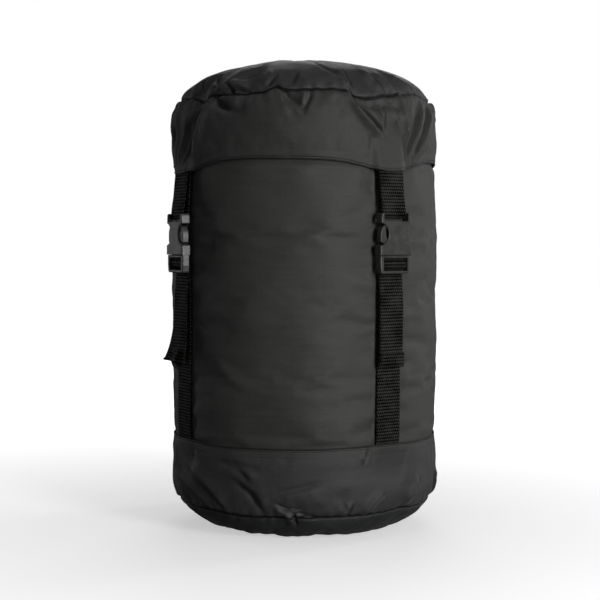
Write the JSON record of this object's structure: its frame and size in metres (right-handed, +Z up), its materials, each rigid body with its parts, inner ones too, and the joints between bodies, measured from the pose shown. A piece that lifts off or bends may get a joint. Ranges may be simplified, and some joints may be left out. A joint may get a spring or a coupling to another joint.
{
  "type": "compression sack",
  "caption": "Round fabric compression sack with a gathered mouth, a loose buckled cap and webbing straps that squeeze the load down.",
  "frame": {"origin": "centre of the flat part of the base, on the surface it stands on", "axes": "+Z up along the sack's axis, -Y towards the front, midway between the two front straps"},
  "size_m": [0.2354, 0.2354, 0.407],
  "materials": {
    "body_cloth": "plain-woven ripstop nylon, matt, faint crosswise wrinkles",
    "cap_cloth": "plain-woven nylon pack cloth, matt with a soft sheen",
    "base_cloth": "plain-woven nylon pack cloth, matt with a soft sheen",
    "binding": "folded and lock-stitched hem",
    "webbing": "ribbed polypropylene webbing, semi-matt",
    "buckle_plastic": "satin moulded acetal",
    "eyelet_metal": "black enamelled pressed rings"
  },
  "bodies": {
    "sack_base": {"base_disc": "base_cloth", "base_seam_tape": "binding", "base_band": "base_cloth", "base_hem": "binding", "body_panel": "body_cloth", "body_seam": "body_cloth", "standing_strap_1": "webbing", "standing_strap_2": "webbing", "standing_strap_3": "webbing", "standing_strap_4": "webbing"},
    "sack_top": {"mouth_collar": "body_cloth", "cord_channel": "body_cloth", "cord_eyelets": "eyelet_metal", "male_buckle_1": "buckle_plastic", "male_buckle_2": "buckle_plastic", "male_buckle_3": "buckle_plastic", "male_buckle_4": "buckle_plastic", "ladder_turn_1": "webbing", "ladder_turn_2": "webbing", "ladder_turn_3": "webbing", "ladder_turn_4": "webbing"},
    "cap": {"cap_disc": "cap_cloth", "cap_seam_tape": "binding", "cap_band": "cap_cloth", "cap_hem": "binding", "cap_loop_1": "webbing", "cap_loop_2": "webbing", "cap_loop_3": "webbing", "cap_loop_4": "webbing", "female_buckle_1": "buckle_plastic", "female_buckle_2": "buckle_plastic", "female_buckle_3": "buckle_plastic", "female_buckle_4": "buckle_plastic"},
    "tail_1": {"strap_tail_1": "webbing"},
    "tail_end_1": {"tail_end_1": "webbing"},
    "prong_1_left": {"prong_1_left": "buckle_plastic"},
    "prong_1_right": {"prong_1_right": "buckle_plastic"},
    "tail_2": {"strap_tail_2": "webbing"},
    "tail_end_2": {"tail_end_2": "webbing"},
    "prong_2_left": {"prong_2_left": "buckle_plastic"},
    "prong_2_right": {"prong_2_right": "buckle_plastic"},
    "tail_3": {"strap_tail_3": "webbing"},
    "tail_end_3": {"tail_end_3": "webbing"},
    "prong_3_left": {"prong_3_left": "buckle_plastic"},
    "prong_3_right": {"prong_3_right": "buckle_plastic"},
    "tail_4": {"strap_tail_4": "webbing"},
    "tail_end_4": {"tail_end_4": "webbing"},
    "prong_4_left": {"prong_4_left": "buckle_plastic"},
    "prong_4_right": {"prong_4_right": "buckle_plastic"}
  },
  "joints": [
    {"name": "compress", "type": "slide", "parent": "sack_base", "child": "sack_top", "axis": [0, 0, -1], "range_m": [0, 0.065]},
    {"name": "cap_lift", "type": "slide", "parent": "sack_top", "child": "cap", "axis": [0, 0, 1], "range_m": [0, 0.2], "deforming": ["prong_1_left", "prong_1_right", "prong_2_left", "prong_2_right", "prong_3_left", "prong_3_right", "prong_4_left", "prong_4_right"]},
    {"name": "tail_swing_1", "type": "hinge", "parent": "sack_top", "child": "tail_1", "pos_m": [-0.08977, -0.07613, 0.221], "axis": [-0.6468, 0.7627, 0], "range_deg": [0, 80]},
    {"name": "tail_feed_1", "type": "slide", "parent": "tail_1", "child": "tail_end_1", "axis": [0, 0, -1], "range_m": [0, 0.065]},
    {"name": "prong_squeeze_1_left", "type": "hinge", "parent": "sack_top", "child": "prong_1_left", "pos_m": [-0.09823, -0.07203, 0.2393], "axis": [-0.7627, -0.6468, 0], "range_deg": [0, 12], "stiffness_Nm_per_rad": 0.6},
    {"name": "prong_squeeze_1_right", "type": "hinge", "parent": "sack_top", "child": "prong_1_right", "pos_m": [-0.0871, -0.08514, 0.2393], "axis": [-0.7627, -0.6468, 0], "range_deg": [-12, 0], "stiffness_Nm_per_rad": 0.6},
    {"name": "tail_swing_2", "type": "hinge", "parent": "sack_top", "child": "tail_2", "pos_m": [0.08977, -0.07613, 0.221], "axis": [-0.6468, -0.7627, 0], "range_deg": [0, 80]},
    {"name": "tail_feed_2", "type": "slide", "parent": "tail_2", "child": "tail_end_2", "axis": [0, 0, -1], "range_m": [0, 0.065]},
    {"name": "prong_squeeze_2_left", "type": "hinge", "parent": "sack_top", "child": "prong_2_left", "pos_m": [0.0871, -0.08514, 0.2393], "axis": [0.7627, -0.6468, 0], "range_deg": [0, 12], "stiffness_Nm_per_rad": 0.6},
    {"name": "prong_squeeze_2_right", "type": "hinge", "parent": "sack_top", "child": "prong_2_right", "pos_m": [0.09823, -0.07203, 0.2393], "axis": [0.7627, -0.6468, 0], "range_deg": [-12, 0], "stiffness_Nm_per_rad": 0.6},
    {"name": "tail_swing_3", "type": "hinge", "parent": "sack_top", "child": "tail_3", "pos_m": [0.08977, 0.07613, 0.221], "axis": [0.6468, -0.7627, 0], "range_deg": [0, 80]},
    {"name": "tail_feed_3", "type": "slide", "parent": "tail_3", "child": "tail_end_3", "axis": [0, 0, -1], "range_m": [0, 0.065]},
    {"name": "prong_squeeze_3_left", "type": "hinge", "parent": "sack_top", "child": "prong_3_left", "pos_m": [0.09823, 0.07203, 0.2393], "axis": [0.7627, 0.6468, 0], "range_deg": [0, 12], "stiffness_Nm_per_rad": 0.6},
    {"name": "prong_squeeze_3_right", "type": "hinge", "parent": "sack_top", "child": "prong_3_right", "pos_m": [0.0871, 0.08514, 0.2393], "axis": [0.7627, 0.6468, 0], "range_deg": [-12, 0], "stiffness_Nm_per_rad": 0.6},
    {"name": "tail_swing_4", "type": "hinge", "parent": "sack_top", "child": "tail_4", "pos_m": [-0.08977, 0.07613, 0.221], "axis": [0.6468, 0.7627, 0], "range_deg": [0, 80]},
    {"name": "tail_feed_4", "type": "slide", "parent": "tail_4", "child": "tail_end_4", "axis": [0, 0, -1], "range_m": [0, 0.065]},
    {"name": "prong_squeeze_4_left", "type": "hinge", "parent": "sack_top", "child": "prong_4_left", "pos_m": [-0.0871, 0.08514, 0.2393], "axis": [-0.7627, 0.6468, 0], "range_deg": [0, 12], "stiffness_Nm_per_rad": 0.6},
    {"name": "prong_squeeze_4_right", "type": "hinge", "parent": "sack_top", "child": "prong_4_right", "pos_m": [-0.09823, 0.07203, 0.2393], "axis": [-0.7627, 0.6468, 0], "range_deg": [-12, 0], "stiffness_Nm_per_rad": 0.6}
  ],
  "couplings": [
    {"joint": "tail_feed_1", "follows": "compress", "ratio": 1},
    {"joint": "prong_squeeze_1_right", "follows": "prong_squeeze_1_left", "ratio": -1},
    {"joint": "tail_feed_2", "follows": "compress", "ratio": 1},
    {"joint": "prong_squeeze_2_right", "follows": "prong_squeeze_2_left", "ratio": -1},
    {"joint": "tail_feed_3", "follows": "compress", "ratio": 1},
    {"joint": "prong_squeeze_3_right", "follows": "prong_squeeze_3_left", "ratio": -1},
    {"joint": "tail_feed_4", "follows": "compress", "ratio": 1},
    {"joint": "prong_squeeze_4_right", "follows": "prong_squeeze_4_left", "ratio": -1}
  ]
}
